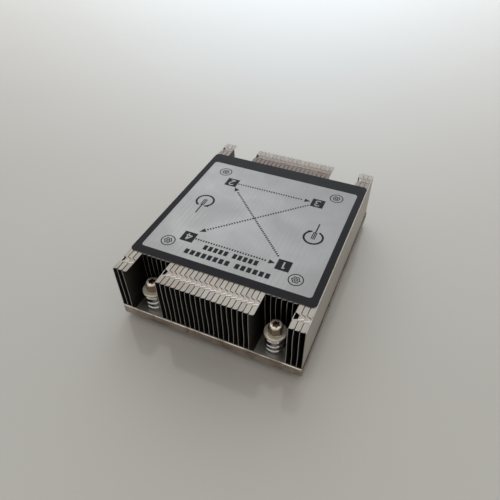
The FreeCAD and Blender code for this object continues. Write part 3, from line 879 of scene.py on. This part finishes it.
def driverSign(centre, heading):
    # open circle with an arrow head, and a driver whose hatched shaft points out of it
    ahead = np.array([math.cos(math.radians(heading)), math.sin(math.radians(heading))])
    side = ahead[::-1] * [-1, 1]
    middle = np.array(centre)
    ring, opening = label["driverRing"], label["opening"]
    start, shaft, end = (middle + ahead * reach for reach in label["driver"])
    hatch, blade, collar = label["driverStrokes"]
    hatchAside, collarAside = label["driverAside"]
    fields = [band(centre, ring, label["ringStroke"], heading + opening, heading + 360 - opening)]
    for aside in (-hatchAside, 0, hatchAside):
        fields.append(bar(start + side * aside, shaft + side * aside, hatch))
    fields.append(bar(shaft, end, blade))
    shaft = shaft - ahead * 0.2
    fields.append(bar(shaft - side * collarAside, shaft + side * collarAside, collar))
    tipTurn = heading + opening + 2   # the head's point lies a little past the ring's end
    turn = math.radians(tipTurn)
    tip = middle + ring * np.array([math.cos(turn), math.sin(turn)])
    return fields + [arrowHead(tip, tipTurn - 90, *label["ringHead"])]


def blockLine(right, height, words, step):
    # rows of plain blocks where a line of print would be, with a wider gap between words
    share, high = label["block"]
    places = [n + word * label["wordGap"] + sum(words[:word])
              for word, count in enumerate(words) for n in range(count)]
    return [bar((right - (place + share) * step, height), (right - place * step, height), high)
            for place in places]


def numeral(number, centre):
    # plain numeral of straight strokes, read from the back of the heatsink
    size, stroke = label["numeral"]
    ends = np.array(centre) - np.array(label["numeralCorners"][number]) * size
    return [bar(start, end, stroke) for start, end in zip(ends[:-1], ends[1:])]


def roundedOutline(low, high, radius, runs=8):
    # four quarter circles, joined by the straight sides between them
    turn = (np.arange(4)[:, None] * 90 + np.linspace(0, 90, runs + 1)).ravel()
    turn = np.radians(turn)
    quarter = np.repeat(np.arange(4), runs + 1)
    x = np.where((quarter == 0) | (quarter == 3), high[0] - radius, low[0] + radius)
    y = np.where(quarter < 2, high[1] - radius, low[1] + radius)
    return np.stack([x + radius * np.cos(turn), y + radius * np.sin(turn)], axis=-1)


def printPiece(name, fields, lift, material):
    # flat fields of ink as one thin sheet
    points, faces, count = [], [], 0
    for corners, quads in fields:
        points.append(np.column_stack([corners, np.full(len(corners), labelHigh[2] + lift)]))
        faces.append(quads + count)
        count += len(corners)
    newPiece(name, np.concatenate(points), np.concatenate(faces), [material],
             gauge=label["ink"] * 0.9)


def makeLabel(film, ink):
    # film: the outline carried from the middle of its underside round the rim to the middle of its top
    outline = roundedOutline(labelLow, labelHigh, label["corner"])
    scale = np.array([0, 1, 1, label["rimScale"], 0])[:, None, None]
    thick = labelHigh[2] - labelLow[2]
    height = np.array([0, 0, label["rimShare"] * thick, thick, thick])[:, None, None] + labelLow[2]
    points = np.concatenate([outline * scale, np.broadcast_to(height, (5, len(outline), 1))], axis=-1)
    newPiece("label_film", points.reshape(-1, 3), gridFaces(5, len(outline), True).reshape(-1, 4), [film],
             stands=["top_label"])

    field = label["field"]
    inner = roundedOutline(field[:2], field[2:], label["fieldCorner"])
    outer = outline * label["rimScale"]
    closed = [np.vstack([line, line[:1]]) for line in (inner, outer)]
    printPiece("label_border", [fieldBetween(*closed)], label["ink"], ink)

    fields = []
    half = label["square"] / 2
    for x, y in label["squares"].values():
        fields.append(bar((x - half, y), (x + half, y), label["square"]))
    for start, end in label["arrows"]:
        fields += dottedArrow(start, end)
    for centre in label["screws"]:
        fields += screwSign(centre)
    for centre, heading in label["drivers"]:
        fields += driverSign(centre, heading)
    for right, height, words, step in label["lines"]:
        fields += blockLine(right, height, words, step)
    printPiece("label_signs", fields, label["ink"], ink)
    numbers = [stroke for number, centre in label["squares"].items() for stroke in numeral(number, centre)]
    printPiece("label_numerals", numbers, 2 * label["ink"], film)


makeLabel(silverFilm(), printedInk())
print("label printed")


studio = {
    "floorSize": 6000,
    "keyPlace": (-500, 1900, 2200),
    "keySize": 2000,
    "keyPower": 9,
    "sky": ("#e8e4de", "#dde6ee"),   # colour away from the bright side and at it
    "bright": (-0.30, 0.91, 0.29),   # towards the bright side
    "skyRange": (0.78, 3.2),         # strength away from that side and at it
    "skyFall": 7.5,
    "cameraPlace": (62.893, -146.951, 161.745),
    "cameraTurn": (46.465, 0.572, 23.888),
    "lens": 32.407,
}


def tableTop():
    # pale lacquered table top: smooth, softly mirroring, with a trace of orange peel
    look = {"light": "#bebdb9", "dark": "#b6b4b0", "cloud": 160, "peel": 3, "roughness": (0.09, 0.13),
            "relief": 0.003}
    material, tree, shader, place = newMaterial("lacqueredTableTop", {"Metallic": 0.0})
    cloud = addNode(tree, "TexNoise", {"Vector": place, "Scale": perMetre(look["cloud"]), "Detail": 2.0})
    peel = addNode(tree, "TexNoise", {"Vector": place, "Scale": perMetre(look["peel"]), "Detail": 2.0})
    colour = layColours(tree, look, "light", {"dark": [cloud]})
    finishSurface(tree, shader, look, colour, peel, peel)
    return material


def makeFloor():
    # one flat square under the heatsink
    half = studio["floorSize"] / 2
    points = np.array([(-half, -half, 0), (half, -half, 0), (half, half, 0), (-half, half, 0)]) * mm
    mesh = bpy.data.meshes.new("table_top")
    mesh.from_pydata(points.tolist(), [], [(0, 1, 2, 3)])
    mesh.materials.append(tableTop())
    floor = bpy.data.objects.new("table_top", mesh)
    bpy.context.scene.collection.objects.link(floor)


def makeSky():
    # soft daylight from one side: the strength grows as a power of a share that goes from 0 on the side
    # away from the light to 1 towards it
    world = bpy.data.worlds.new("studio")
    world.use_nodes = True
    tree = world.node_tree
    toward = addNode(tree, "TexCoord", {}, "Generated")
    share = addNode(tree, "VectorMath", {0: toward, 1: studio["bright"]}, "Value", operation="DOT_PRODUCT")
    share = addNode(tree, "MapRange", {"Value": share, "From Min": -0.3, "From Max": 1.0})
    share = addNode(tree, "Math", {0: share, 1: studio["skyFall"]}, operation="POWER")
    low, high = studio["skyRange"]
    strength = addNode(tree, "MapRange", {"Value": share, "To Min": low, "To Max": high})
    dim, bright = studio["sky"]
    colour = addNode(tree, "Mix", {0: share, 6: linear(dim), 7: linear(bright)}, 2, data_type="RGBA")
    fill(tree, tree.nodes["Background"], {"Color": colour, "Strength": strength})
    bpy.context.scene.world = world


def addLight(name, place, size, power):
    # square soft box that faces the heatsink
    lamp = bpy.data.lights.new(name, "AREA")
    lamp.shape = "SQUARE"
    lamp.size = size * mm
    lamp.energy = power
    item = bpy.data.objects.new(name, lamp)
    x, y, z = (value * mm for value in place)
    item.location = (x, y, z)
    item.rotation_euler = (math.atan2(math.hypot(x, y), z), 0, math.atan2(y, x) + math.pi / 2)
    item.visible_glossy = False
    bpy.context.scene.collection.objects.link(item)


def makeCamera():
    camera = bpy.data.cameras.new("camera")
    camera.lens = studio["lens"]
    camera.clip_start = 0.01
    item = bpy.data.objects.new("camera", camera)
    item.location = [value * mm for value in studio["cameraPlace"]]
    item.rotation_euler = [math.radians(value) for value in studio["cameraTurn"]]
    bpy.context.scene.collection.objects.link(item)
    bpy.context.scene.camera = item


bpy.context.scene.view_settings.view_transform = "Standard"
makeFloor()
makeSky()
addLight("key", studio["keyPlace"], studio["keySize"], studio["keyPower"])
makeCamera()
print("studio set up")
